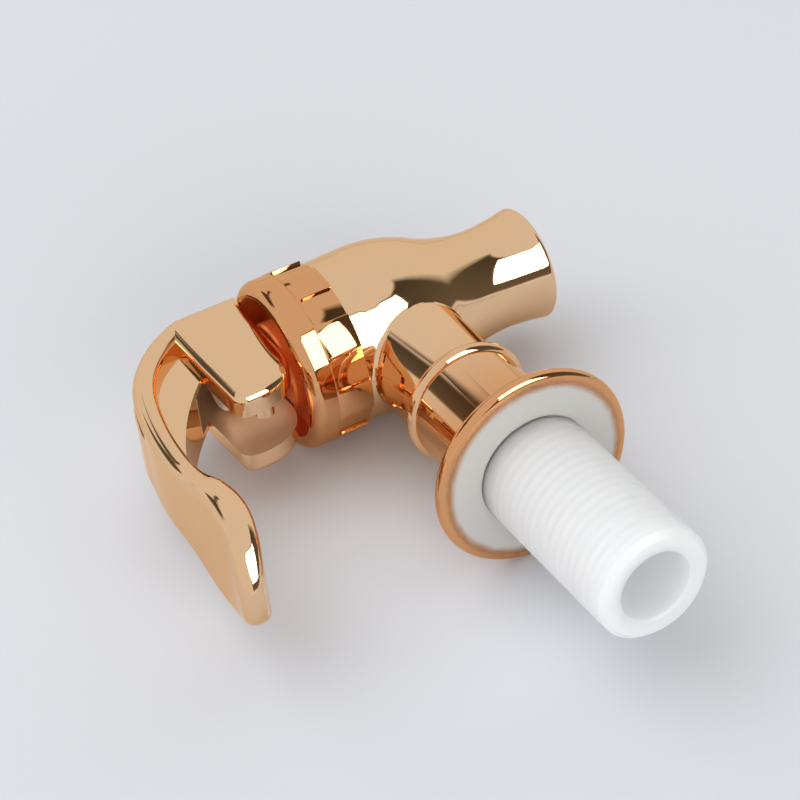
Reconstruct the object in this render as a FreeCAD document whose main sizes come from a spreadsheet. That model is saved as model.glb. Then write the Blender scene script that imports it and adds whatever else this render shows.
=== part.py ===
import FreeCAD, Part
import Sketcher
import math
import os
import re

# Dispenser tap with a lift lever. The frame is that of the fitted tap: +Z runs up the valve's
# axis from the spout to the bonnet, +Y runs out along the nipple, and the origin is the middle
# of the face that the flange presses on the vessel's wall. The pieces are drawn about the valve's
# axis, with Y = 0 on it, and are all moved back by axisToSeat at the end.

doc = FreeCAD.newDocument("BottleTap")
sheet = doc.addObject("Spreadsheet::Sheet", "Sizes")
sizes = {
    # Where the valve's axis and the lever's pivot lie
    "axisToSeat": 40.2, "pivotHeight": 24.3,
    # Barrel, spout and valve seat
    "barrelRadius": 12.1, "rimRadius": 11.9, "shoulderHeight": 2.0, "rimHeight": 8.7,
    "threadRadius": 10.4, "threadTop": 12.0, "waistRadius": 7.6, "waistDepth": 17.0,
    "spoutRadius": 8.35, "spoutDepth": 23.9, "spoutFlare": 31.0, "spoutRound": 0.8,
    "chamberRadius": 9.0, "chamberDepth": 5.5, "seatRadius": 5.6, "seatRise": 1.0,
    "throatRadius": 4.2, "throatDepth": 9.0, "outletRadius": 5.6, "outletDepth": 13.0,
    # Stub, flange and nipple
    "stubRadius": 7.8, "beadPlace": 22.7, "beadRadius": 9.1, "beadHalf": 1.0,
    "sleeveRadius": 8.4, "flangeRadius": 14.3, "flangeThick": 1.9, "flangeRound": 0.9,
    "flangeFillet": 2.0, "nippleRadius": 8.0, "nippleLength": 28.0, "nippleChamfer": 0.8,
    "boreRadius": 5.0, "boreReach": 7.4, "rootFillet": 0.8,
    # Bonnet
    "capRadius": 12.5, "capParting": 14.0, "partingStep": 0.06, "capBand": 16.0, "lipRound": 1.7,
    "lipInner": 10.3, "lipInnerRound": 0.4, "dishFloor": 14.6, "dishDraft": 0.2, "ceilingHeight": 13.1,
    "hubRadius": 6.5, "hubHeight": 17.6, "hubChamfer": 0.3, "threadGap": 0.05, "stemGap": 0.1,
    "gripCount": 8, "gripAngle": 21.5, "gripTurn": 18.3, "gripDepth": 0.4, "gripFront": 13.8,
    "gripRound": 0.9,
    # Lever: cheeks and slot
    "leverHalf": 6.5, "slotHalf": 3.3, "cheekBottom": 17.8, "cheekReach": 4.8, "cheekRadius": 7.0,
    "cheekCorner": 2.0, "cheekTop": 28.7, "cheekFall": 0.4, "cheekRound": 1.2,
    "slotRadius": 5.4, "slotLean": 14.0,
    "nibReach": 9.4, "nibHeight": 23.6, "nibRadius": 1.3, "nibTip": 1.0, "nibSink": 0.3,
    # Lever: spine, strap, web and paddle
    "spineBack": 11.0, "spineTop": 26.8,
    "bendReach": 2.5, "bendDrop": 2.2, "strapReach": 18.0, "strapTop": 41.5, "strapThick": 3.3,
    "tipRun": 11.4, "tipRise": 2.6, "tipThick": 3.0, "tipLean": 0.6, "bellyReach": 31.0,
    "bellyThick": 4.4, "webHalf": 4.2, "webStart": 1.2, "webReach": 16.5, "webRound": 42.0,
    "webSink": 1.2, "paddleHalf": 8.8,
    "tipRadius": 6.6, "leverRound": 1.6, "underRound": 1.4, "cheekSkin": 1.65,
    # Stem and pivot pin
    "stemRadius": 3.0, "stemTop": 26.6, "stemDome": 0.9, "collarRadius": 6.4, "collarTop": 1.4,
    "collarThick": 1.4, "waspRadius": 2.2, "buttonTop": -1.3, "buttonRadius": 3.5, "buttonThick": 1.5,
    "pinRadius": 1.25, "pinGap": 0.08, "socketDepth": 1.6, "pinEndGap": 0.1, "pinChamfer": 0.2,
    # Seat cup and spring
    "cupFlange": 10.0, "cupRadius": 8.4, "cupWall": 0.8, "cupStraight": 0.6, "plugRadius": 6.4,
    "plugGap": 0.05, "plugEdge": 1.0, "cupGap": 0.05, "collarGap": 0.2,
    "wireRadius": 0.4, "coilRadius": 4.9, "coilTurns": 7.0,
    # How far a cut runs on past the face that it leaves by
    "cutClear": 1.0,
}
for row, (name, value) in enumerate(sizes.items(), 1):
    sheet.set("A%d" % row, name)
    sheet.set("B%d" % row, repr(value))
    sheet.setAlias("B%d" % row, name)
doc.recompute()


def linked(text):
    return re.sub(r"[A-Za-z]\w*", lambda word: "Sizes." * (word[0] in sizes) + word[0], text)


def amount(text):
    return float(sheet.evalExpression(linked(text)))


def arcMiddle(start, end, radius, side):
    along = end - start
    left = FreeCAD.Vector(-along.y, along.x, 0).normalize()
    rise = radius - math.sqrt(max(radius ** 2 - (along.Length / 2) ** 2, 0))
    return (start + end) / 2 - left * side * rise


# A closed outline. Each point gives two places on the sketch's axes, and a point that starts an
# arc adds its radius and the side of the path that its centre is on: 1 for left, -1 for right.
def outline(body, plane, name, points):
    sketch = body.newObject("Sketcher::SketchObject", name)
    role = [feature for feature in body.Origin.OriginFeatures if feature.Role == plane]
    sketch.AttachmentSupport = [(role[0], "")]
    sketch.MapMode = "FlatFace"
    places = [FreeCAD.Vector(amount(point[0]), amount(point[1]), 0) for point in points]
    ends = []
    for index, point in enumerate(points):
        start, end = places[index], places[(index + 1) % len(points)]
        if len(point) == 2:
            sketch.addGeometry(Part.LineSegment(start, end))
            ends.append((1, 2))
        else:
            middle = arcMiddle(start, end, amount(point[2]), point[3])
            sketch.addGeometry(Part.Arc(start, middle, end))
            forward = sketch.getPoint(index, 1).isEqual(start, 1e-6)
            ends.append((1, 2) if forward else (2, 1))
            bind(sketch, Sketcher.Constraint("Radius", index, amount(point[2])), point[2])
    for index, point in enumerate(points):
        first = ends[index][0]
        sketch.addConstraint(Sketcher.Constraint("Coincident", index - 1 if index else len(points) - 1,
                                                 ends[index - 1][1], index, first))
        for kind, axis, text in (("DistanceX", -2, point[0]), ("DistanceY", -1, point[1])):
            if text == "0":
                sketch.addConstraint(Sketcher.Constraint("PointOnObject", index, first, axis))
            else:
                bind(sketch, Sketcher.Constraint(kind, index, first, amount(text)), text)
    return sketch


def disc(body, plane, name, across, up, radius):
    sketch = body.newObject("Sketcher::SketchObject", name)
    role = [feature for feature in body.Origin.OriginFeatures if feature.Role == plane]
    sketch.AttachmentSupport = [(role[0], "")]
    sketch.MapMode = "FlatFace"
    centre = FreeCAD.Vector(amount(across), amount(up), 0)
    sketch.addGeometry(Part.Circle(centre, FreeCAD.Vector(0, 0, 1), amount(radius)))
    bind(sketch, Sketcher.Constraint("Radius", 0, amount(radius)), radius)
    for kind, axis, text in (("DistanceX", -2, across), ("DistanceY", -1, up)):
        if text == "0":
            sketch.addConstraint(Sketcher.Constraint("PointOnObject", 0, 3, axis))
        else:
            bind(sketch, Sketcher.Constraint(kind, 0, 3, amount(text)), text)
    return sketch


def bind(sketch, constraint, text):
    sketch.setExpression("Constraints[%d]" % sketch.addConstraint(constraint), linked(text))


def feature(body, kind, name, sketch, **settings):
    made = body.newObject("PartDesign::" + kind, name)
    made.Profile = sketch
    for setting, value in settings.items():
        if isinstance(value, str) and setting in ("Length", "Angle", "Height", "Pitch"):
            made.setExpression(setting, linked(value))
        else:
            setattr(made, setting, value)
    sketch.Visibility = False
    doc.recompute()
    return made


def turned(body, kind, name, sketch, axis="V_Axis", **settings):
    return feature(body, kind, name, sketch, ReferenceAxis=(sketch, [axis]), **settings)


def rounded(body, name, radius, test):
    doc.recompute()
    base = body.Tip
    chosen = ["Edge%d" % (index + 1) for index, edge in enumerate(base.Shape.Edges) if test(edge)]
    made = body.newObject("PartDesign::Fillet", name)
    made.Base = (base, chosen)
    made.setExpression("Radius", linked(radius))
    doc.recompute()
    return made


# The radius of an arc that leaves square to its rise and covers the run, or of each of two such
# arcs that make an S.
def sweep(run, rise, arcs=1):
    return "((%s)^2 + (%s)^2)/(%d*(%s))" % (run, rise, 2 * arcs, rise)


# Two lengths are the same in the tests that pick edges when they differ by less than this
hair = 0.01


def newBody(name):
    body = doc.addObject("PartDesign::Body", name)
    body.Label = name
    body.setExpression("Placement.Base.y", "-Sizes.axisToSeat")
    return body


def barrelBody():
    body = newBody("tap_body")
    halfway = "(barrelRadius + waistRadius)/2"
    swing = sweep("shoulderHeight + waistDepth", "barrelRadius - waistRadius", 2)
    outside = outline(body, "XZ_Plane", "BarrelOutline", [
        ("0", "-spoutDepth"),
        ("spoutRadius - spoutRound", "-spoutDepth", "spoutRound", 1),
        ("spoutRadius", "spoutRound - spoutDepth", "spoutFlare", -1),
        ("waistRadius", "-waistDepth", swing, -1),
        (halfway, "(shoulderHeight - waistDepth)/2", swing, 1),
        ("barrelRadius", "shoulderHeight"),
        ("rimRadius", "rimHeight"),
        ("threadRadius", "rimHeight"),
        ("threadRadius", "threadTop"),
        ("0", "threadTop")])
    turned(body, "Revolution", "Barrel", outside)

    face = "axisToSeat - flangeThick"
    beadRise = "(beadRadius - (stubRadius + sleeveRadius)/2)"
    beadArc = "(beadHalf^2 + ((sleeveRadius - stubRadius)/2)^2 + %s^2)/(2*%s)" % (beadRise, beadRise)
    stub = outline(body, "YZ_Plane", "StubOutline", [
        ("0", "0"),
        ("0", "stubRadius"),
        ("beadPlace - beadHalf", "stubRadius", beadArc, -1),
        ("beadPlace + beadHalf", "sleeveRadius"),
        (face + " - flangeFillet", "sleeveRadius", "flangeFillet", 1),
        (face, "sleeveRadius + flangeFillet"),
        (face, "flangeRadius - flangeRound", "flangeRound", -1),
        (face + " + flangeRound", "flangeRadius"),
        ("axisToSeat - flangeRound", "flangeRadius", "flangeRound", -1),
        ("axisToSeat", "flangeRadius - flangeRound"),
        ("axisToSeat", "nippleRadius"),
        ("axisToSeat + nippleLength - nippleChamfer", "nippleRadius"),
        ("axisToSeat + nippleLength", "nippleRadius - nippleChamfer"),
        ("axisToSeat + nippleLength", "0")])
    turned(body, "Revolution", "Stub", stub, "H_Axis")
    nearest, furthest = amount("stubRadius/2"), amount("barrelRadius")

    def atRoot(edge):
        return nearest < edge.BoundBox.YMin and edge.BoundBox.YMax < furthest
    rounded(body, "RootFillet", "rootFillet", atRoot)

    inside = outline(body, "XZ_Plane", "ChamberOutline", [
        ("0", "-spoutDepth - cutClear"),
        ("outletRadius", "-spoutDepth - cutClear"),
        ("outletRadius", "-outletDepth"),
        ("throatRadius", "-throatDepth"),
        ("throatRadius", "seatRise - chamberDepth"),
        ("seatRadius", "seatRise - chamberDepth"),
        ("seatRadius", "-chamberDepth"),
        ("chamberRadius", "-chamberDepth"),
        ("chamberRadius", "threadTop + cutClear"),
        ("0", "threadTop + cutClear")])
    turned(body, "Groove", "Chamber", inside)
    bore = outline(body, "YZ_Plane", "BoreOutline", [
        ("boreReach", "0"),
        ("boreReach", "boreRadius"),
        ("axisToSeat + nippleLength + cutClear", "boreRadius"),
        ("axisToSeat + nippleLength + cutClear", "0")])
    turned(body, "Groove", "Bore", bore, "H_Axis")
    return body


def bonnetBody():
    body = newBody("bonnet")
    body.setExpression("Placement.Rotation.Angle", "Sizes.gripTurn")
    band = "(capRadius - partingStep)"
    lipTop = "(capBand + lipRound)"
    profile = outline(body, "XZ_Plane", "BonnetOutline", [
        ("threadRadius + threadGap", "rimHeight"),
        ("capRadius", "rimHeight"),
        ("capRadius", "capParting"),
        (band, "capParting"),
        (band, "capBand", "lipRound", 1),
        (band + " - lipRound", lipTop),
        ("lipInner + lipInnerRound", lipTop, "lipInnerRound", 1),
        ("lipInner", lipTop + " - lipInnerRound"),
        ("lipInner - dishDraft", "dishFloor"),
        ("hubRadius", "dishFloor"),
        ("hubRadius", "hubHeight - hubChamfer"),
        ("hubRadius - hubChamfer", "hubHeight"),
        ("stemRadius + stemGap", "hubHeight"),
        ("stemRadius + stemGap", "ceilingHeight"),
        ("threadRadius + threadGap", "ceilingHeight")])
    turned(body, "Revolution", "Cap", profile)
    grip = outline(body, "XZ_Plane", "GripOutline", [
        ("capRadius - gripDepth", "rimHeight - cutClear"),
        ("capRadius + cutClear", "rimHeight - cutClear"),
        ("capRadius + cutClear", "gripFront"),
        ("capRadius - gripDepth", "gripFront")])
    cut = turned(body, "Groove", "Grip", grip, Midplane=True, Angle="gripAngle")
    ring = body.newObject("PartDesign::PolarPattern", "GripRing")
    ring.Originals = [cut]
    ring.Axis = (grip, ["V_Axis"])
    ring.Angle = 360
    ring.setExpression("Occurrences", "Sizes.gripCount")
    body.Tip = ring
    front, depth = amount("gripFront"), amount("gripDepth")

    def atCorner(edge):
        low, high = edge.BoundBox.ZMin, edge.BoundBox.ZMax
        return abs(low - front) < hair and abs(high - front) < hair and edge.Length < 2 * depth
    rounded(body, "GripCorners", "gripRound", atCorner)
    return body


def stemBody():
    body = newBody("stem")
    low = "(buttonTop - buttonThick)"
    profile = outline(body, "XZ_Plane", "StemOutline", [
        ("0", low),
        ("buttonRadius", low),
        ("buttonRadius", "buttonTop"),
        ("waspRadius", "buttonTop"),
        ("waspRadius", "collarTop - collarThick"),
        ("collarRadius", "collarTop - collarThick"),
        ("collarRadius", "collarTop"),
        ("stemRadius", "collarTop"),
        ("stemRadius", "stemTop - stemDome", "stemDome", 1),
        ("stemRadius - stemDome", "stemTop"),
        ("0", "stemTop")])
    turned(body, "Revolution", "Rod", profile)
    hole = disc(body, "YZ_Plane", "PinHoleOutline", "0", "pivotHeight", "pinRadius")
    feature(body, "Pocket", "PinHole", hole, Type="Length", Midplane=True, Length="2*(stemRadius + cutClear)")
    return body


def pinBody():
    body = newBody("pivot_pin")
    reach = "(slotHalf + socketDepth - pinEndGap)"
    body.setExpression("Placement.Base.z", "Sizes.pivotHeight")
    profile = outline(body, "XZ_Plane", "PinOutline", [
        ("-" + reach, "0"),
        ("-" + reach, "pinRadius - pinChamfer"),
        ("pinChamfer - " + reach, "pinRadius"),
        (reach + " - pinChamfer", "pinRadius"),
        (reach, "pinRadius - pinChamfer"),
        (reach, "0")])
    turned(body, "Revolution", "Pin", profile, "H_Axis")
    return body


def cupBody():
    body = newBody("seat_cup")
    seat = "(seatRise - chamberDepth + plugGap)"
    button = "(buttonTop - buttonThick)"
    profile = outline(body, "XZ_Plane", "CupOutline", [
        ("0", seat),
        ("plugRadius", seat),
        ("plugRadius", seat + " + plugEdge"),
        ("cupRadius", "cupStraight"),
        ("cupRadius", "threadTop + cupGap"),
        ("cupFlange", "threadTop + cupGap"),
        ("cupFlange", "ceilingHeight - cupGap"),
        ("cupRadius - cupWall", "ceilingHeight - cupGap"),
        ("cupRadius - cupWall", "cupStraight"),
        ("collarRadius + collarGap", "collarTop - collarThick - collarGap"),
        ("waspRadius + cupGap", "collarTop - collarThick - collarGap"),
        ("waspRadius + cupGap", "buttonTop + cupGap"),
        ("buttonRadius + cupGap", "buttonTop + cupGap"),
        ("buttonRadius + cupGap", button + " - cupGap"),
        ("0", button + " - cupGap")])
    turned(body, "Revolution", "Cup", profile)
    return body


def springBody():
    body = newBody("return_spring")
    body.setExpression("Placement.Base.z", "Sizes.collarTop + Sizes.wireRadius")
    wire = disc(body, "XZ_Plane", "WireSection", "coilRadius", "0", "wireRadius")
    coil = body.newObject("PartDesign::AdditiveHelix", "Coil")
    coil.Profile = wire
    coil.ReferenceAxis = (wire, ["V_Axis"])
    coil.Mode = "height-turns-angle"
    coil.setExpression("Height", linked("ceilingHeight - collarTop - 2*wireRadius"))
    coil.setExpression("Turns", linked("coilTurns"))
    return body


def leverBody():
    body = newBody("handle")
    under = "(strapTop - strapThick)"
    belly = "(strapTop - bellyThick)"
    tip = "(strapTop + tipRise)"
    bend = "(strapTop - bendDrop)"
    strapArc = sweep("strapReach - bendReach", "bendDrop")
    slope = "(2*atan(bendDrop/(strapReach - bendReach)))"
    chordSlope = "atan((%s - spineTop)/(bendReach + spineBack))" % bend
    steepSlope = "(2*%s - %s)" % (chordSlope, slope)
    bendArc = "((%s - spineTop)/(2*sin(%s)*sin(%s - %s)))" % (bend, chordSlope, chordSlope, slope)
    inner = "(strapThick*sin(%s) - spineBack)" % steepSlope
    swoop = sweep("tipRun", "tipRise")
    scoop = sweep("tipRun + tipLean", "tipRise + bellyThick - tipThick")
    swell = sweep("bellyReach - strapReach", "bellyThick - strapThick", 2)
    strap = outline(body, "YZ_Plane", "StrapOutline", [
        ("-spineBack", "cheekBottom"),
        ("-spineBack", "spineTop", bendArc, -1),
        ("bendReach", bend, strapArc, -1),
        ("strapReach", "strapTop"),
        ("bellyReach", "strapTop", swoop, 1),
        ("bellyReach + tipRun", tip),
        ("bellyReach + tipRun + tipLean", tip + " - tipThick", scoop, -1),
        ("bellyReach", belly, swell, -1),
        ("(bellyReach + strapReach)/2", "(%s + %s)/2" % (belly, under), swell, 1),
        ("strapReach", under, strapArc + " - strapThick", 1),
        ("bendReach + strapThick*sin(%s)" % slope, bend + " - strapThick*cos(%s)" % slope,
         bendArc + " - strapThick", 1),
        (inner, "spineTop - strapThick*cos(%s)" % steepSlope),
        (inner, "cheekBottom")])
    feature(body, "Pad", "Strap", strap, Type="Length", Midplane=True, Length="2*paddleHalf")

    flare = sweep("bellyReach - strapReach", "paddleHalf - leverHalf", 2)
    ahead = "(tipRun - tipRadius)"
    side = "((paddleHalf^2 + %s^2 - tipRadius^2)/(2*(paddleHalf - tipRadius)))" % ahead
    shoulder = ("tipRadius*(%s - paddleHalf)/(%s - tipRadius)" % (side, side),
                "bellyReach + %s + tipRadius*%s/(%s - tipRadius)" % (ahead, ahead, side))
    middle = ("(leverHalf + paddleHalf)/2", "(strapReach + bellyReach)/2")
    plan = outline(body, "XY_Plane", "PlanOutline", [
        ("leverHalf", "-2*spineBack"),
        ("leverHalf", "strapReach", flare, -1),
        (middle[0], middle[1], flare, 1),
        ("paddleHalf", "bellyReach", side, 1),
        (shoulder[0], shoulder[1], "tipRadius", 1),
        ("-" + shoulder[0], shoulder[1], side, 1),
        ("-paddleHalf", "bellyReach", flare, 1),
        ("-" + middle[0], middle[1], flare, -1),
        ("-leverHalf", "strapReach"),
        ("-leverHalf", "-2*spineBack"),
        ("-2*paddleHalf", "-2*spineBack"),
        ("-2*paddleHalf", "2*(bellyReach + tipRun)"),
        ("2*paddleHalf", "2*(bellyReach + tipRun)"),
        ("2*paddleHalf", "-2*spineBack")])
    feature(body, "Pocket", "Plan", plan, Type="ThroughAll", Reversed=True)
    spine, front, roof, crest = -amount("spineBack"), amount(inner), amount(under), amount("strapTop")
    low, half, straightEnd = amount("cheekBottom"), amount("leverHalf"), amount("strapReach")

    def atUnderRim(edge):
        box = edge.BoundBox
        upright = box.XLength + box.YLength < hair and abs(box.YMin - front) < hair
        return upright or box.YLength > hair and box.YMin > front - hair and box.ZMin < roof + hair
    rounded(body, "UnderRound", "underRound", atUnderRim)

    def atOuterRim(edge):
        box = edge.BoundBox
        onSpine = box.YMin < spine + hair and box.ZMax > low + hair
        onStrap = box.ZMax > crest - hair and box.YLength > hair
        onTop = box.ZMin > crest - hair or box.YMax < straightEnd + hair
        return (onSpine or onStrap and onTop) and box.XLength < 2*half - hair
    rounded(body, "OuterRound", "leverRound", atOuterRim)

    cheeks = doc.addObject("PartDesign::Body", "Cheeks")
    corner = "cheekReach + cheekRadius"
    buried = "(cheekSkin*sin(%s) - spineBack)" % steepSlope
    rear = "%s*sin(%s) - spineBack - sqrt((%s - cheekSkin)^2 - (cheekTop - spineTop + %s*cos(%s))^2)" % (
        bendArc, steepSlope, bendArc, bendArc, steepSlope)
    cheek = outline(cheeks, "YZ_Plane", "CheekOutline", [
        (buried, "cheekBottom"),
        ("cheekReach", "cheekBottom", "cheekRadius", 1),
        (corner, "cheekBottom + cheekRadius"),
        (corner, "cheekTop - cheekFall - cheekCorner", "cheekCorner", 1),
        (corner + " - cheekCorner", "cheekTop - cheekFall"),
        ("webStart", "cheekTop"),
        (rear, "cheekTop", bendArc + " - cheekSkin", 1),
        (buried, "spineTop - cheekSkin*cos(%s)" % steepSlope)])
    feature(cheeks, "Pad", "CheekBlock", cheek, Type="Length", Midplane=True, Length="2*leverHalf")
    rearEnd = amount(rear)

    def atCheekRim(edge):
        box = edge.BoundBox
        return box.XLength < hair and box.YMax > rearEnd + hair
    rounded(cheeks, "CheekRound", "cheekRound", atCheekRim)
    joined = body.newObject("PartDesign::Boolean", "CheeksJoined")
    joined.Type = "Fuse"
    joined.setObjects([cheeks])

    web = outline(body, "YZ_Plane", "WebOutline", [
        (inner + " - webSink", "spineTop"),
        (inner, "cheekTop - webSink"),
        ("webStart", "cheekTop - webSink"),
        ("webStart", "cheekTop", "webRound", -1),
        ("webReach", under),
        ("webReach", under + " + webSink", bendArc + " - webSink", 1)])
    feature(body, "Pad", "Web", web, Type="Length", Midplane=True, Length="2*webHalf")
    lean = "slotRadius*sin(slotLean)"
    top = "pivotHeight + slotRadius*cos(slotLean)"
    past = corner + " + cutClear"
    slot = outline(body, "YZ_Plane", "SlotOutline", [
        ("-slotRadius", "cheekBottom - cutClear"),
        ("-slotRadius", "pivotHeight", "slotRadius", -1),
        ("-" + lean, top),
        (past, top + " + (%s + %s)*tan(slotLean)" % (past, lean)),
        (past, "cheekBottom - cutClear")])
    feature(body, "Pocket", "Slot", slot, Type="Length", Midplane=True, Length="2*slotHalf")
    socket = disc(body, "YZ_Plane", "SocketOutline", "0", "pivotHeight", "pinRadius + pinGap")
    feature(body, "Pocket", "Sockets", socket, Type="Length", Midplane=True,
            Length="2*(slotHalf + socketDepth)")
    nib = disc(body, "YZ_Plane", "NibOutline", "nibReach", "nibHeight", "nibRadius")
    nib.setExpression("AttachmentOffset.Base.z", linked("-nibTip"))
    feature(body, "Pad", "Nib", nib, Type="Length", Reversed=True, Length="slotHalf - nibTip + nibSink")
    return body


parts = [barrelBody(), bonnetBody(), leverBody(), pinBody(), stemBody(), springBody(), cupBody()]
doc.recompute()

for thing in doc.Objects:
    if "Invalid" in thing.State or "Error" in thing.State:
        raise SystemExit("%s did not compute: %s" % (thing.Name, thing.State))
for part in parts:
    if part.Shape.isNull() or not part.Shape.isValid() or len(part.Shape.Solids) != 1:
        raise SystemExit("%s is not one valid solid" % part.Label)

os.makedirs("parts", exist_ok=True)
for part in parts:
    part.Shape.exportStep("parts/%s.step" % part.Label)
    box = part.Shape.optimalBoundingBox()
    print("%-14s volume %8.1f  X %6.2f %6.2f  Y %6.2f %6.2f  Z %6.2f %6.2f" % (
        part.Label, part.Shape.Volume, box.XMin, box.XMax, box.YMin, box.YMax, box.ZMin, box.ZMax))
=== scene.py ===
import math

import bmesh
import bpy
from mathutils import Matrix, Quaternion, Vector


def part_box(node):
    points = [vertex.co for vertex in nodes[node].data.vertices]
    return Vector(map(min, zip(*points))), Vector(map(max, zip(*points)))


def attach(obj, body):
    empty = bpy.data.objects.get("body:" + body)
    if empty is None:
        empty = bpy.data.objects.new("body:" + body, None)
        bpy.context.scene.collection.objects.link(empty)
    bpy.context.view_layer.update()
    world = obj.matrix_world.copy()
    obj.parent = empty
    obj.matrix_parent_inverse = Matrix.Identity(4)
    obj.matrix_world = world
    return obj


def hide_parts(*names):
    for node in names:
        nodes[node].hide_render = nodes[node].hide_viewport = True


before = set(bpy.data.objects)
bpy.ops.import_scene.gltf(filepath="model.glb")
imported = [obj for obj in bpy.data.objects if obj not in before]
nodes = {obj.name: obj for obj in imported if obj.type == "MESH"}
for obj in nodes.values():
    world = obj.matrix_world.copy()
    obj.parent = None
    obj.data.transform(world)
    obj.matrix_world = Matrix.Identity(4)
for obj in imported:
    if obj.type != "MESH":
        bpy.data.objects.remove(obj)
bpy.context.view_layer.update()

# Bottle tap, rose-gold plated, lying on its side on a pale table. The lever, bonnet and barrel are
# mirror-bright, so most of the look comes from smooth surfaces and from what they reflect.

mm = 0.001


# Camera and table

photoView = {
    "place": (-0.21265, 0.22547, 0.12387),
    "lookAt": (0.00884, -0.03363, 0.00211),
    "roll": -113.38,            # degrees about the line of sight: the tap lies on its side
    "focal": 2572.1,            # in pixels of the photo
    "imageWidth": 800,
    "sensor": 36.0,
}

table = {
    "size": 6.0,
    "underFlange": 14.32 * mm,  # the flange's rim and the bonnet are what the tap lies on
    "underBonnet": 12.52 * mm,
    "barrel": 12.1 * mm,        # the barrel's radius, which tells where the bonnet's middle is
    "cool": "DBDEE4",
    "warm": "DEDFE2",
    "drift": 0.25,              # metres over which the paper goes from one to the other
}


def hexColour(code):
    parts = [int(code[i:i + 2], 16) / 255 for i in (0, 2, 4)]
    return tuple(p / 12.92 if p <= 0.04045 else ((p + 0.055) / 1.055) ** 2.4 for p in parts) + (1.0,)


def addNode(tree, kind, settings=None, **links):
    node = tree.nodes.new(kind)
    for name, value in (settings or {}).items():
        if name != "inputs":
            setattr(node, name, value)
    for name, value in (settings or {}).get("inputs", {}).items():
        node.inputs[name].default_value = value
    for name, source in links.items():
        tree.links.new(source, node.inputs[int(name[1:]) if name[1:].isdigit() else name])
    return node


def newMaterial(name):
    material = bpy.data.materials.new(name)
    material.use_nodes = True
    material.node_tree.nodes.clear()
    return material, material.node_tree


def closeMaterial(tree, shader):
    end = addNode(tree, "ShaderNodeOutputMaterial")
    tree.links.new(shader.outputs[0], end.inputs["Surface"])


def makeCamera():
    data = bpy.data.cameras.new("photoCamera")
    data.sensor_width = photoView["sensor"]
    data.lens = photoView["focal"] / photoView["imageWidth"] * photoView["sensor"]
    data.clip_start, data.clip_end = 0.01, 50.0
    camera = bpy.data.objects.new("photoCamera", data)
    bpy.context.collection.objects.link(camera)
    place, aim = Vector(photoView["place"]), Vector(photoView["lookAt"])
    camera.rotation_mode = "QUATERNION"
    turn = Quaternion((0, 0, 1), math.radians(photoView["roll"]))
    camera.rotation_quaternion = (aim - place).to_track_quat("-Z", "Y") @ turn
    camera.location = place
    bpy.context.scene.camera = camera


makeCamera()
scene = bpy.context.scene
scene.view_settings.view_transform = "Standard"
print("camera made")


# Studio: a white room, a soft box to the right of the camera, two fills that the mirror finish doesn't
# show, and olive-grey felt cards. Places are in degrees: round the table from the line of sight, to the
# right, and up from the table.

studio = {
    "roomLevel": 0.80,
    "roomTint": "FFFFFF",
    "middle": (0.0, -0.030, 0.006),
    "softBox": {"round": 132, "up": 40, "wide": 34, "high": 43, "radiance": 5.0, "tint": "FFFFFF"},
    "leftFill": {"round": -70, "up": 52, "wide": 60, "high": 50, "radiance": 1.3, "tint": "F7FAFF"},
    "frontFill": {"round": 155, "up": 18, "wide": 50, "high": 30, "radiance": 3.2, "tint": "FFFFFF"},
    "boxAway": 1.60,
    "cards": [                  # name, from and to round the table, from and to upwards, soft sides
        ("rightCard", 58, 156, 2, 63, 12),
        ("lowLeftCard", -70, -16, 33, 41, 20),
        ("leftCard", -80, -46, 16, 38, 6),
    ],
    "cardEdge": 2.5,            # how soft its top and bottom are
    "cardAway": 1.90,           # behind the boxes, so that it hides none of them
    "cardStep": 1.0,            # degrees from point to point of its mesh
    "cardLow": "6B6558",        # olive-grey, darker towards the top
    "cardHigh": "4A453C",
}


def studioAxes():
    run = -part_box("tap_body")[0].y - table["barrel"]
    lean = (table["underFlange"] - table["underBonnet"]) / run
    up = Vector((-1, lean, 0)).normalized()
    sight = Vector(photoView["lookAt"]) - Vector(photoView["place"])
    away = (sight - up * sight.dot(up)).normalized()
    return away, away.cross(up), up


away, right, up = studioAxes()


def studioDirection(around, above):
    turn, climb = math.radians(around), math.radians(above)
    return (away * math.cos(turn) + right * math.sin(turn)) * math.cos(climb) + up * math.sin(climb)


def makeTable():
    outward = up
    mesh = bpy.data.meshes.new("table")
    half = table["size"] / 2
    across, along = Vector((0, 0, 1)), outward.cross(Vector((0, 0, 1)))
    middle = Vector((table["underFlange"], 0, 0))
    signs = ((-1, -1), (-1, 1), (1, 1), (1, -1))
    corners = [middle + across * u * half + along * v * half for u, v in signs]
    mesh.from_pydata([c[:] for c in corners], [], [(0, 1, 2, 3)])
    if mesh.polygons[0].normal.dot(outward) < 0:
        mesh.flip_normals()
    top = bpy.data.objects.new("table", mesh)
    bpy.context.collection.objects.link(top)

    # Matt white paper. Seen from underneath it isn't there, so that the other side of the tap shows.
    material, tree = newMaterial("whitePaper")
    coords = addNode(tree, "ShaderNodeTexCoord")
    drift = addNode(tree, "ShaderNodeTexNoise", {"inputs": {"Scale": 1 / table["drift"], "Detail": 1.0}},
                    Vector=coords.outputs["Object"])
    tone = addNode(tree, "ShaderNodeMix", {"data_type": "RGBA"}, Factor=drift.outputs["Fac"])
    tone.inputs[6].default_value = hexColour(table["cool"])
    tone.inputs[7].default_value = hexColour(table["warm"])
    paper = addNode(tree, "ShaderNodeBsdfDiffuse", Color=tone.outputs[2])
    nothing = addNode(tree, "ShaderNodeBsdfTransparent")
    side = addNode(tree, "ShaderNodeNewGeometry")
    both = addNode(tree, "ShaderNodeMixShader", i0=side.outputs["Backfacing"], i1=paper.outputs[0],
                   i2=nothing.outputs[0])
    closeMaterial(tree, both)
    mesh.materials.append(material)


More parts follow.
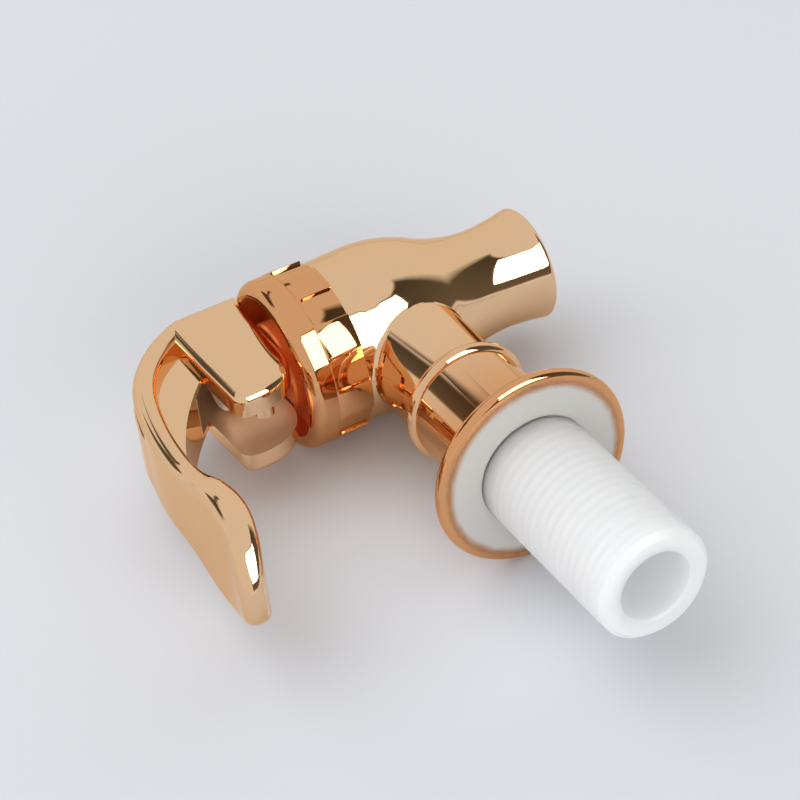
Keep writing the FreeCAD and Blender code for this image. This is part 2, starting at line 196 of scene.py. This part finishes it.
def makeBox(name, box):
    direction = studioDirection(box["round"], box["up"])
    lamp = bpy.data.lights.new(name, "AREA")
    lamp.shape = "RECTANGLE"
    lamp.size = 2 * studio["boxAway"] * math.tan(math.radians(box["wide"] / 2))
    lamp.size_y = 2 * studio["boxAway"] * math.tan(math.radians(box["high"] / 2))
    lamp.energy = box["radiance"] * math.pi * lamp.size * lamp.size_y
    lamp.color = hexColour(box["tint"])[:3]
    light = bpy.data.objects.new(name, lamp)
    bpy.context.collection.objects.link(light)
    upward = (up - direction * up.dot(direction)).normalized()
    side = upward.cross(direction)
    place = Vector(studio["middle"]) + direction * studio["boxAway"]
    light.matrix_world = Matrix.Translation(place) @ Matrix((side, upward, direction)).transposed().to_4x4()
    return light


def makeCard(name, start, stop, low, high, soft):
    # Each card is bent round the tap, and its edges fade out over its soft width
    across = round((stop - start) / studio["cardStep"])
    upwards = round((high - low) / studio["cardStep"])
    middle = Vector(studio["middle"])
    points, fades, climbs, faces = [], [], [], []
    for row in range(upwards + 1):
        for column in range(across + 1):
            around = start + (stop - start) * column / across
            above = low + (high - low) * row / upwards
            points.append((middle + studioDirection(around, above) * studio["cardAway"])[:])
            edge = min((around - start) / soft, min(high - above, above - low) / studio["cardEdge"])
            fades.append(min(1.0, edge))
            climbs.append(row / upwards)
    for row in range(upwards):
        for column in range(across):
            corner = row * (across + 1) + column
            faces.append((corner, corner + 1, corner + across + 2, corner + across + 1))
    mesh = bpy.data.meshes.new(name)
    mesh.from_pydata(points, [], faces)
    for label, values in (("fade", fades), ("climb", climbs)):
        layer = mesh.attributes.new(label, "FLOAT", "POINT")
        layer.data.foreach_set("value", values)
    card = bpy.data.objects.new(name, mesh)
    bpy.context.collection.objects.link(card)
    card.visible_camera = card.visible_shadow = False
    material, tree = newMaterial(name + "Felt")
    fade = addNode(tree, "ShaderNodeAttribute", {"attribute_name": "fade"})
    climb = addNode(tree, "ShaderNodeAttribute", {"attribute_name": "climb"})
    tone = addNode(tree, "ShaderNodeMix", {"data_type": "RGBA"}, Factor=climb.outputs["Fac"])
    tone.inputs[6].default_value = hexColour(studio["cardLow"])
    tone.inputs[7].default_value = hexColour(studio["cardHigh"])
    felt = addNode(tree, "ShaderNodeEmission", Color=tone.outputs[2])
    nothing = addNode(tree, "ShaderNodeBsdfTransparent")
    both = addNode(tree, "ShaderNodeMixShader", i0=fade.outputs["Fac"], i1=nothing.outputs[0],
                   i2=felt.outputs[0])
    closeMaterial(tree, both)
    mesh.materials.append(material)


def makeStudio():
    world = bpy.data.worlds.new("whiteRoom")
    scene.world = world
    world.use_nodes = True
    room = world.node_tree.nodes["Background"]
    room.inputs["Color"].default_value = hexColour(studio["roomTint"])
    room.inputs["Strength"].default_value = studio["roomLevel"]
    makeBox("softBox", studio["softBox"]).visible_diffuse = False
    for name in ("leftFill", "frontFill"):
        makeBox(name, studio[name]).visible_glossy = False
    for card in studio["cards"]:
        makeCard(*card)


makeTable()
makeStudio()
print("table and studio made")


# Finishes

plating = {
    "metal": "EDC59B",
    "paintedReflectionOrange": "E2A674",         # painted reflection: the bonnet, stub and flange are tinted redder, standing for the orange of gold reflecting gold
    "roughness": 0.035,
    "haze": 0.03,
    "hazeSize": 2.5 * mm,
    "hazePart": (0.35, 0.75),   # the part of the noise that becomes haze
    "waveLength": 11 * mm,      # the slow waviness of the moulding under the plate
    "waveHeight": 0.012 * mm,
    "satin": "F0CDAA",          # inside the lever's slot, where the bath hardly reached
    "satinMetallic": 0.75,
    "satinRoughness": 0.3,
    "thinPlateAndPaintedReflection": "F08040",           # in the bonnet's dish the plate is duller, and its deep orange is painted reflection of light bouncing round the gold dish
    "thinMetallic": 0.5,
    "thinRoughness": 0.25,
    "edge": "FFEAD0",           # keeps its colour where it is seen along its face
    "burn": "C08352",           # where it thins out at a bare place it turns a dull copper
    "burnMetallic": 0.85,
    "burnRoughness": 0.3,
    "fadeOuter": 14.0 * mm,     # on the flange's back face the plate thins inwards from here
    "fadeInner": 11.1 * mm,     # to nothing here
}

plastics = {
    "bare": "FCFDFD",           # white polypropylene where the jig kept the bath off
    "flangeBack": "C8C6C1",     # thin there, and greyer than the bare white
    "bareRoughness": 0.38,
    "bareIor": 1.49,
    "glow": 12.0 * mm,          # how far light travels in it
    "backGlow": 1.5 * mm,
    "acetal": "EDEDE8",
    "acetalRoughness": 0.32,
    "acetalGlow": 0.8 * mm,
    "silicone": "EAEAE4",
    "siliconeRoughness": 0.5,
    "siliconeGlow": 1.5 * mm,
    "satinIor": 1.48,
    "depth": 0.6,               # how much of the satin plastics' light comes from inside
    "sheenSize": 1.5 * mm,
    "sheen": 0.08,
    "grainSize": 0.4 * mm,
    "grainHeight": 0.004 * mm,
}

steels = {
    "pin": "C9C9C9",
    "pinRoughness": 0.18,
    "wire": "B4B4B6",
    "wireRoughness": 0.22,
    "streakSize": 0.3 * mm,
    "streak": 0.15,
}

leverFinish = {
    "slotEdge": 3.32 * mm,      # half the slot's width, with a hair over
    "slotSlope": 0.24933,       # the slot's roof rises towards the lever's front: z = slope y + roof
    "slotRoof": 39.888 * mm,
    "roofBlur": 0.30 * mm,
    "nibY": -30.8 * mm,         # the nib in the slot stays bright
    "nibZ": 23.6 * mm,
    "nib": 1.35 * mm,
    "nibClear": 0.20 * mm,      # but the cheeks' faces round it don't
    "blur": 0.05 * mm,
}

bonnetFinish = {
    "axisY": -40.2 * mm,
    "lip": 10.45 * mm,          # the dish lies inside this radius
    "lipBlur": 0.15 * mm,
    "rim": 18.0 * mm,           # and below this height
    "rimBlur": 0.5 * mm,
}

bodyFinish = {                  # each pair is where something begins and where it is complete
    # painted reflection: over this stretch the plate's colour turns the redder orange of gold reflecting
    # gold
    "paintedReflectionRedder": (-24 * mm, -3 * mm),
    "backFace": (-0.15 * mm, -0.02 * mm),
    "ragSize": 1.6 * mm,        # the plate's edge on the flange's back is uneven
    "rag": 0.5 * mm,
    "boreRadius": (5.6 * mm, 5.2 * mm),
    "boreDepth": (-31 * mm, -26 * mm),
    "spoutRadius": (6.0 * mm, 5.7 * mm),
    "spoutDepth": (-22.6 * mm, -20.5 * mm),
    "burn": (0.0, 0.3),
    "bare": (0.12, 0.8),
}


def noise(tree, place, size, detail=1.0):
    return addNode(tree, "ShaderNodeTexNoise", {"inputs": {"Scale": 1 / size, "Detail": detail}},
                   Vector=place).outputs["Fac"]


def unevenRoughness(tree, place, size, detail, least, extra, part=(0.3, 0.7)):
    # From least upwards by extra, where the noise lies in this part of its range
    return addNode(tree, "ShaderNodeMapRange", {"inputs": {
        "From Min": part[0], "From Max": part[1], "To Min": least, "To Max": least + extra}},
        Value=noise(tree, place, size, detail)).outputs[0]


def calculate(tree, operation, *values):
    # Each value is a socket or a plain number
    node = addNode(tree, "ShaderNodeMath", {"operation": operation})
    for slot, value in enumerate(values):
        if isinstance(value, (int, float)):
            node.inputs[slot].default_value = value
        else:
            tree.links.new(value, node.inputs[slot])
    return node.outputs[0]


def between(tree, value, low, high):
    # Smoothly from 0 at low to 1 at high, which may also lie below it
    if low > high:
        return calculate(tree, "SUBTRACT", 1.0, between(tree, value, high, low))
    return addNode(tree, "ShaderNodeMapRange", {"interpolation_type": "SMOOTHSTEP", "inputs": {
        "From Min": low, "From Max": high}}, Value=value).outputs[0]


def mixShaders(tree, factor, first, second):
    return addNode(tree, "ShaderNodeMixShader", i0=factor, i1=first.outputs[0], i2=second.outputs[0])


def mirrorPlate(tree, place, colour=plating["metal"]):
    # Rose-gold electroplate on moulded ABS: a clean mirror that bends slightly with the slow
    # waviness of the moulding, with a faint haze that comes and goes
    rough = unevenRoughness(tree, place, plating["hazeSize"], 3.0, plating["roughness"], plating["haze"],
                            plating["hazePart"])
    wave = addNode(tree, "ShaderNodeBump", {"inputs": {"Strength": 1.0, "Distance": plating["waveHeight"]}},
                   Height=noise(tree, place, plating["waveLength"]))
    return addNode(tree, "ShaderNodeBsdfPrincipled", {"inputs": {
        "Metallic": 1.0, "Base Color": hexColour(colour), "Specular Tint": hexColour(plating["edge"])}},
        Roughness=rough, Normal=wave.outputs[0])


def whitePlastic(tree, colour=plastics["bare"], glow=plastics["glow"]):
    # White polypropylene as moulded: it lets light in, so its shaded side and its bore glow
    return addNode(tree, "ShaderNodeBsdfPrincipled", {"inputs": {
        "Base Color": hexColour(colour), "Roughness": plastics["bareRoughness"], "IOR": plastics["bareIor"],
        "Subsurface Weight": 1.0, "Subsurface Radius": (1.0, 1.0, 1.0), "Subsurface Scale": glow}})


def splitPlace(tree, place):
    return addNode(tree, "ShaderNodeSeparateXYZ", Vector=place).outputs


def distance(tree, first, second):
    # How far a point is from an axis, by its two places across that axis
    flat = addNode(tree, "ShaderNodeCombineXYZ", X=first, Y=second)
    length = addNode(tree, "ShaderNodeVectorMath", {"operation": "LENGTH"}, i0=flat.outputs[0])
    return length.outputs["Value"]


def fromValve(tree, apart):
    # How far a point is from the valve's own axis
    return distance(tree, apart["X"], calculate(tree, "SUBTRACT", apart["Y"], bonnetFinish["axisY"]))


def leverPlate():
    material, tree = newMaterial("roseGoldPlateOnLever")
    place = addNode(tree, "ShaderNodeTexCoord").outputs["Object"]
    bright = mirrorPlate(tree, place)
    apart = splitPlace(tree, place)
    finish = leverFinish
    across = calculate(tree, "ABSOLUTE", apart["X"])
    roof = calculate(tree, "MULTIPLY_ADD", apart["Y"], finish["slotSlope"], finish["slotRoof"])
    under = calculate(tree, "SUBTRACT", apart["Z"], roof)
    inSlot = calculate(tree, "MULTIPLY",
                       between(tree, across, finish["slotEdge"] + finish["blur"], finish["slotEdge"]),
                       between(tree, under, finish["roofBlur"], finish["blur"]))
    fromNib = distance(tree, calculate(tree, "SUBTRACT", apart["Y"], finish["nibY"]),
                       calculate(tree, "SUBTRACT", apart["Z"], finish["nibZ"]))
    nextToCheek = finish["slotEdge"] - finish["nibClear"]
    besideNib = calculate(tree, "MAXIMUM",
                          between(tree, fromNib, finish["nib"], finish["nib"] + finish["blur"]),
                          between(tree, across, nextToCheek, nextToCheek + finish["blur"]))
    inSlot = calculate(tree, "MULTIPLY", inSlot, besideNib)
    satin = addNode(tree, "ShaderNodeBsdfPrincipled", {"inputs": {
        "Metallic": plating["satinMetallic"], "Base Color": hexColour(plating["satin"]),
        "Roughness": plating["satinRoughness"]}})
    closeMaterial(tree, mixShaders(tree, inSlot, bright, satin))
    return material


def bonnetPlate():
    material, tree = newMaterial("roseGoldPlateOnBonnet")
    place = addNode(tree, "ShaderNodeTexCoord").outputs["Object"]
    # Painted reflection: the bonnet's plate is tinted the redder orange that gold reflecting gold shows
    bright = mirrorPlate(tree, place, plating["paintedReflectionOrange"])
    apart = splitPlace(tree, place)
    lip, rim = bonnetFinish["lip"], bonnetFinish["rim"]
    # In the dish the plate is duller and painted a deep orange, a painted reflection of the light bouncing
    # round it
    inDish = calculate(tree, "MULTIPLY",
                       between(tree, fromValve(tree, apart), lip, lip - bonnetFinish["lipBlur"]),
                       between(tree, apart["Z"], rim, rim - bonnetFinish["rimBlur"]))
    paintedReflectionOrange = addNode(tree, "ShaderNodeBsdfPrincipled", {"inputs": {
        "Metallic": plating["thinMetallic"], "Base Color": hexColour(plating["thinPlateAndPaintedReflection"]),
        "Roughness": plating["thinRoughness"]}})
    closeMaterial(tree, mixShaders(tree, inDish, bright, paintedReflectionOrange))
    return material


def bodyPlate():
    # The nipple, the bores and the flange's back are bare plastic, and the plate fades into them
    material, tree = newMaterial("roseGoldPlateOnBody")
    place = addNode(tree, "ShaderNodeTexCoord").outputs["Object"]
    bright = mirrorPlate(tree, place)
    apart = splitPlace(tree, place)
    finish = bodyFinish
    # Painted reflection: towards the flange the plate turns the redder orange of gold reflecting gold
    paintedReflectionRedder = addNode(tree, "ShaderNodeMix", {"data_type": "RGBA"},
                     Factor=between(tree, apart["Y"], *finish["paintedReflectionRedder"]))
    paintedReflectionRedder.inputs[6].default_value = hexColour(plating["metal"])
    paintedReflectionRedder.inputs[7].default_value = hexColour(plating["paintedReflectionOrange"])
    tree.links.new(paintedReflectionRedder.outputs[2], bright.inputs["Base Color"])
    radius = distance(tree, apart["X"], apart["Z"])
    uneven = noise(tree, place, finish["ragSize"], 2.0)
    ragged = calculate(tree, "MULTIPLY_ADD", uneven, finish["rag"], radius)
    onBack = calculate(tree, "MULTIPLY", between(tree, apart["Y"], *finish["backFace"]),
                       between(tree, ragged, plating["fadeOuter"], plating["fadeInner"]))
    inBore = calculate(tree, "MULTIPLY", between(tree, radius, *finish["boreRadius"]),
                       between(tree, apart["Y"], *finish["boreDepth"]))
    inSpout = calculate(tree, "MULTIPLY", between(tree, fromValve(tree, apart), *finish["spoutRadius"]),
                        between(tree, apart["Z"], *finish["spoutDepth"]))
    bare = calculate(tree, "MAXIMUM", calculate(tree, "MAXIMUM", onBack, inBore), inSpout)
    film = addNode(tree, "ShaderNodeBsdfPrincipled", {"inputs": {
        "Metallic": plating["burnMetallic"], "Base Color": hexColour(plating["burn"]),
        "Roughness": plating["burnRoughness"]}})
    edge = mixShaders(tree, between(tree, bare, *finish["burn"]), bright, film)
    closeMaterial(tree, mixShaders(tree, between(tree, bare, *finish["bare"]), edge,
                                   whitePlastic(tree, plastics["flangeBack"], plastics["backGlow"])))
    return material


def mouldedPlastic(name, colour, roughness, glow):
    # Satin moulded plastic with the faint unevenness that the tool leaves
    material, tree = newMaterial(name)
    place = addNode(tree, "ShaderNodeTexCoord").outputs["Object"]
    rough = unevenRoughness(tree, place, plastics["sheenSize"], 2.0, roughness, plastics["sheen"])
    grain = addNode(tree, "ShaderNodeBump", {"inputs": {
        "Strength": 1.0, "Distance": plastics["grainHeight"]}},
        Height=noise(tree, place, plastics["grainSize"], 2.0))
    body = addNode(tree, "ShaderNodeBsdfPrincipled", {"inputs": {
        "Base Color": hexColour(colour), "IOR": plastics["satinIor"], "Subsurface Weight": plastics["depth"],
        "Subsurface Radius": (1.0, 1.0, 1.0), "Subsurface Scale": glow}},
        Roughness=rough, Normal=grain.outputs[0])
    closeMaterial(tree, body)
    return material


def drawnSteel(name, colour, roughness):
    # Stainless steel as drawn: bright, with fine streaks along the wire
    material, tree = newMaterial(name)
    place = addNode(tree, "ShaderNodeTexCoord").outputs["Object"]
    streaks = unevenRoughness(tree, place, steels["streakSize"], 3.0, roughness, steels["streak"])
    body = addNode(tree, "ShaderNodeBsdfPrincipled", {"inputs": {
        "Metallic": 1.0, "Base Color": hexColour(colour)}}, Roughness=streaks)
    closeMaterial(tree, body)
    return material


# Pieces

meshing = {
    "merge": 1e-6,              # metres: the CAD's triangles are loose
    "shortest": 1e-7,
    "crease": 24,               # degrees, past which an edge stays sharp
    "flat": 0.15,               # degrees, within which neighbours lie in one plane
    "flatLeast": 3,             # triangles that a flat face has at least
    "ease": 0.16 * mm,          # the rounding of the bonnet's outer edges
    "easePast": 50,             # degrees
}


def flatRegions(shape):
    # Triangles of one flat face of the CAD lie in one plane. Each region is known by a number.
    region = {}
    for seed in shape.faces:
        if seed.index in region:
            continue
        found = [seed]
        region[seed.index] = seed.index
        for face in found:
            for edge in face.edges:
                if edge.calc_face_angle(1.0) < math.radians(meshing["flat"]):
                    for other in edge.link_faces:
                        if other.index not in region:
                            region[other.index] = seed.index
                            found.append(other)
        if len(found) < meshing["flatLeast"]:
            for face in found:
                region[face.index] = None
    return region


def cornerNormals(shape):
    # A flat face keeps its own normal right to its edge, and a curved one that meets it starts from
    # there, so that a mirror finish shows flats as flat and fillets as round
    region = flatRegions(shape)
    crease = math.radians(meshing["crease"])
    normals = {}
    for vert in shape.verts:
        left = set(vert.link_faces)
        while left:
            group = [left.pop()]
            for face in group:
                for edge in face.edges:
                    if vert not in edge.verts or edge.calc_face_angle(9.0) > crease:
                        continue
                    kinds = {region[other.index] for other in edge.link_faces}
                    if len(kinds) == 2 and None not in kinds:
                        continue
                    for other in edge.link_faces:
                        if other in left:
                            left.remove(other)
                            group.append(other)
            flats = [face for face in group if region[face.index] is not None]
            total = Vector()
            for face in flats or group:
                corner = next(loop for loop in face.loops if loop.vert == vert)
                total += face.normal * corner.calc_angle()
            for face in group:
                normals[face.index, vert.index] = total.normalized()
    return [normals[face.index, loop.vert.index] for face in shape.faces for loop in face.loops]


def cutNipple(shape):
    # The nipple is a piece of its own with a thread, so the body ends at the flange's back face
    everything = shape.verts[:] + shape.edges[:] + shape.faces[:]
    bmesh.ops.bisect_plane(shape, geom=everything, dist=meshing["shortest"],
                           plane_co=(0, 0, 0), plane_no=(0, 1, 0))
    beyond = [face for face in shape.faces if face.calc_center_median().y > meshing["merge"]]
    bmesh.ops.delete(shape, geom=beyond, context="FACES")
    rims = [edge for edge in shape.edges if edge.is_boundary]
    bmesh.ops.bridge_loops(shape, edges=rims)


def easeEdges(shape):
    # The mould leaves every outer edge slightly round, which draws a fine line of light along it
    least = math.radians(meshing["easePast"])
    sharp = [edge for edge in shape.edges if edge.is_manifold and edge.calc_face_angle_signed(0.0) > least]
    bmesh.ops.bevel(shape, geom=sharp, offset=meshing["ease"], offset_type="OFFSET", segments=2, profile=0.5,
                    affect="EDGES", clamp_overlap=True)


def polished(node):
    mesh = nodes[node].data.copy()
    shape = bmesh.new()
    shape.from_mesh(mesh)
    bmesh.ops.remove_doubles(shape, verts=shape.verts, dist=meshing["merge"])
    bmesh.ops.dissolve_degenerate(shape, edges=shape.edges, dist=meshing["shortest"])
    if node == "tap_body":
        cutNipple(shape)
    if node == "bonnet":
        easeEdges(shape)
    bmesh.ops.triangulate(shape, faces=[face for face in shape.faces if len(face.verts) > 3])
    shape.normal_update()
    shape.faces.index_update()
    shape.verts.index_update()
    normals = cornerNormals(shape)
    shape.to_mesh(mesh)
    shape.free()
    mesh.shade_smooth()
    mesh.normals_split_custom_set(normals)
    return mesh


def addPiece(name, node, body, material):
    piece = bpy.data.objects.new(name, polished(node))
    bpy.context.collection.objects.link(piece)
    piece.data.materials.clear()
    piece.data.materials.append(material)
    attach(piece, body)
    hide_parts(node)
    print(name + " made")


shells = {                      # node: the piece, its body, its slot and its material
    "tap_body": ("tapBodyShell", "housing", "plated_plastic", bodyPlate()),
    "bonnet": ("bonnetShell", "housing", "plated_plastic", bonnetPlate()),
    "handle": ("leverShell", "lever", "plated_plastic", leverPlate()),
    "stem": ("stemRod", "stem", "stem_plastic",
             mouldedPlastic("whiteAcetal", plastics["acetal"], plastics["acetalRoughness"],
                            plastics["acetalGlow"])),
    "pivot_pin": ("pivotDowel", "stem", "pin_steel",
                  drawnSteel("stainlessDowel", steels["pin"], steels["pinRoughness"])),
}
for node, (name, body, slot, material) in shells.items():
    addPiece(name, node, body, material)

kept = {
    "return_spring": drawnSteel("stainlessWire", steels["wire"], steels["wireRoughness"]),
    "seat_cup": mouldedPlastic("whiteSilicone", plastics["silicone"], plastics["siliconeRoughness"],
                               plastics["siliconeGlow"]),
}
for node, material in kept.items():
    for slot in nodes[node].material_slots:
        slot.material = material


nipple = {
    "length": 28.0 * mm,
    "outer": 8.0 * mm,
    "bore": 5.0 * mm,
    "chamfer": 0.8 * mm,
    "boreChamfer": 0.3 * mm,
    "pitch": 1.5 * mm,          # a fine 16 mm thread, moulded shallow
    "crest": 0.07 * mm,         # how far its crests stand out and its roots sink in
    "start": 1.0 * mm,
    "end": 26.8 * mm,
    "fade": 1.5 * mm,           # over which each end of the thread runs out
    "skin": 0.05 * mm,          # what lies this close to the outside takes the thread
    "crease": 40,               # degrees
    "around": 96,
    "perPitch": 10,
    "boreRings": 6,
}


def nippleTube():
    # A closed tube, turned from its outline, with rings close enough together to carry the thread
    length, outer, bore, chamfer = (nipple[key] for key in ("length", "outer", "bore", "chamfer"))
    rings = round((length - chamfer) / nipple["pitch"] * nipple["perPitch"])
    outline = [(outer, (length - chamfer) * step / rings) for step in range(rings + 1)]
    outline += [(outer - chamfer, length), (bore + nipple["boreChamfer"], length)]
    outline += [(bore, length - nipple["boreChamfer"])]
    outline += [(bore, length * step / nipple["boreRings"]) for step in reversed(range(nipple["boreRings"]))]
    count = nipple["around"]
    points = [(r * math.cos(2 * math.pi * turn / count), y, r * math.sin(2 * math.pi * turn / count))
              for r, y in outline for turn in range(count)]
    faces = []
    for ring in range(len(outline)):
        after = (ring + 1) % len(outline)
        for turn in range(count):
            beside = (turn + 1) % count
            near, far = ring * count, after * count
            faces.append((near + turn, far + turn, far + beside, near + beside))
    mesh = bpy.data.meshes.new("nipple")
    mesh.from_pydata(points, [], faces)
    return mesh


def makeNipple(material):
    tree = bpy.data.node_groups.new("fineThread", "GeometryNodeTree")
    names = {}
    tree.interface.new_socket("tube", in_out="INPUT", socket_type="NodeSocketGeometry")
    for label in ("outer", "pitch", "crest", "start", "end", "fade"):
        socket = tree.interface.new_socket(label, in_out="INPUT", socket_type="NodeSocketFloat")
        names[label] = socket.identifier
    tree.interface.new_socket("threaded", in_out="OUTPUT", socket_type="NodeSocketGeometry")
    given = addNode(tree, "NodeGroupInput").outputs
    place = addNode(tree, "GeometryNodeInputPosition").outputs[0]
    apart = splitPlace(tree, place)
    outward = addNode(tree, "ShaderNodeCombineXYZ", X=apart["X"], Z=apart["Z"]).outputs[0]
    radius = addNode(tree, "ShaderNodeVectorMath", {"operation": "LENGTH"}, i0=outward).outputs["Value"]
    direction = addNode(tree, "ShaderNodeVectorMath", {"operation": "NORMALIZE"}, i0=outward).outputs[0]
    turn = calculate(tree, "ARCTAN2", apart["Z"], apart["X"])
    climb = calculate(tree, "MULTIPLY", calculate(tree, "DIVIDE", apart["Y"], given["pitch"]), 2 * math.pi)
    wave = calculate(tree, "COSINE", calculate(tree, "ADD", climb, turn))
    skin = calculate(tree, "SUBTRACT", given["outer"], nipple["skin"])
    outside = calculate(tree, "GREATER_THAN", radius, skin)
    begun = calculate(tree, "DIVIDE", calculate(tree, "SUBTRACT", apart["Y"], given["start"]), given["fade"])
    left = calculate(tree, "DIVIDE", calculate(tree, "SUBTRACT", given["end"], apart["Y"]), given["fade"])
    ends = calculate(tree, "MULTIPLY", between(tree, begun, 0.0, 1.0), between(tree, left, 0.0, 1.0))
    height = calculate(tree, "MULTIPLY", calculate(tree, "MULTIPLY", wave, given["crest"]),
                       calculate(tree, "MULTIPLY", ends, outside))
    shift = addNode(tree, "ShaderNodeVectorMath", {"operation": "SCALE"}, Vector=direction, Scale=height)
    cut = addNode(tree, "GeometryNodeSetPosition", Geometry=given["tube"], Offset=shift.outputs[0])
    real = addNode(tree, "GeometryNodeRealizeInstances", Geometry=cut.outputs[0])
    finished = addNode(tree, "GeometryNodeSetMaterial", {"inputs": {"Material": material}},
                       Geometry=real.outputs[0])
    addNode(tree, "NodeGroupOutput", i0=finished.outputs[0])

    piece = bpy.data.objects.new("threadedNipple", nippleTube())
    bpy.context.collection.objects.link(piece)
    builder = piece.modifiers.new("thread", "NODES")
    builder.node_group = tree
    for label, identifier in names.items():
        builder[identifier] = nipple[label]
    bpy.context.view_layer.update()
    piece.data = bpy.data.meshes.new_from_object(piece.evaluated_get(bpy.context.evaluated_depsgraph_get()))
    piece.modifiers.clear()
    piece.data.shade_smooth()
    piece.data.set_sharp_from_angle(angle=math.radians(nipple["crease"]))
    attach(piece, "housing")
    print("threadedNipple made,", len(piece.data.polygons), "faces")


# The body's own solid holds the plain nipple, and the threaded one stands in its place
nippleWhite, nippleTree = newMaterial("whitePolypropylene")
closeMaterial(nippleTree, whitePlastic(nippleTree))
makeNipple(nippleWhite)
print("pieces made")
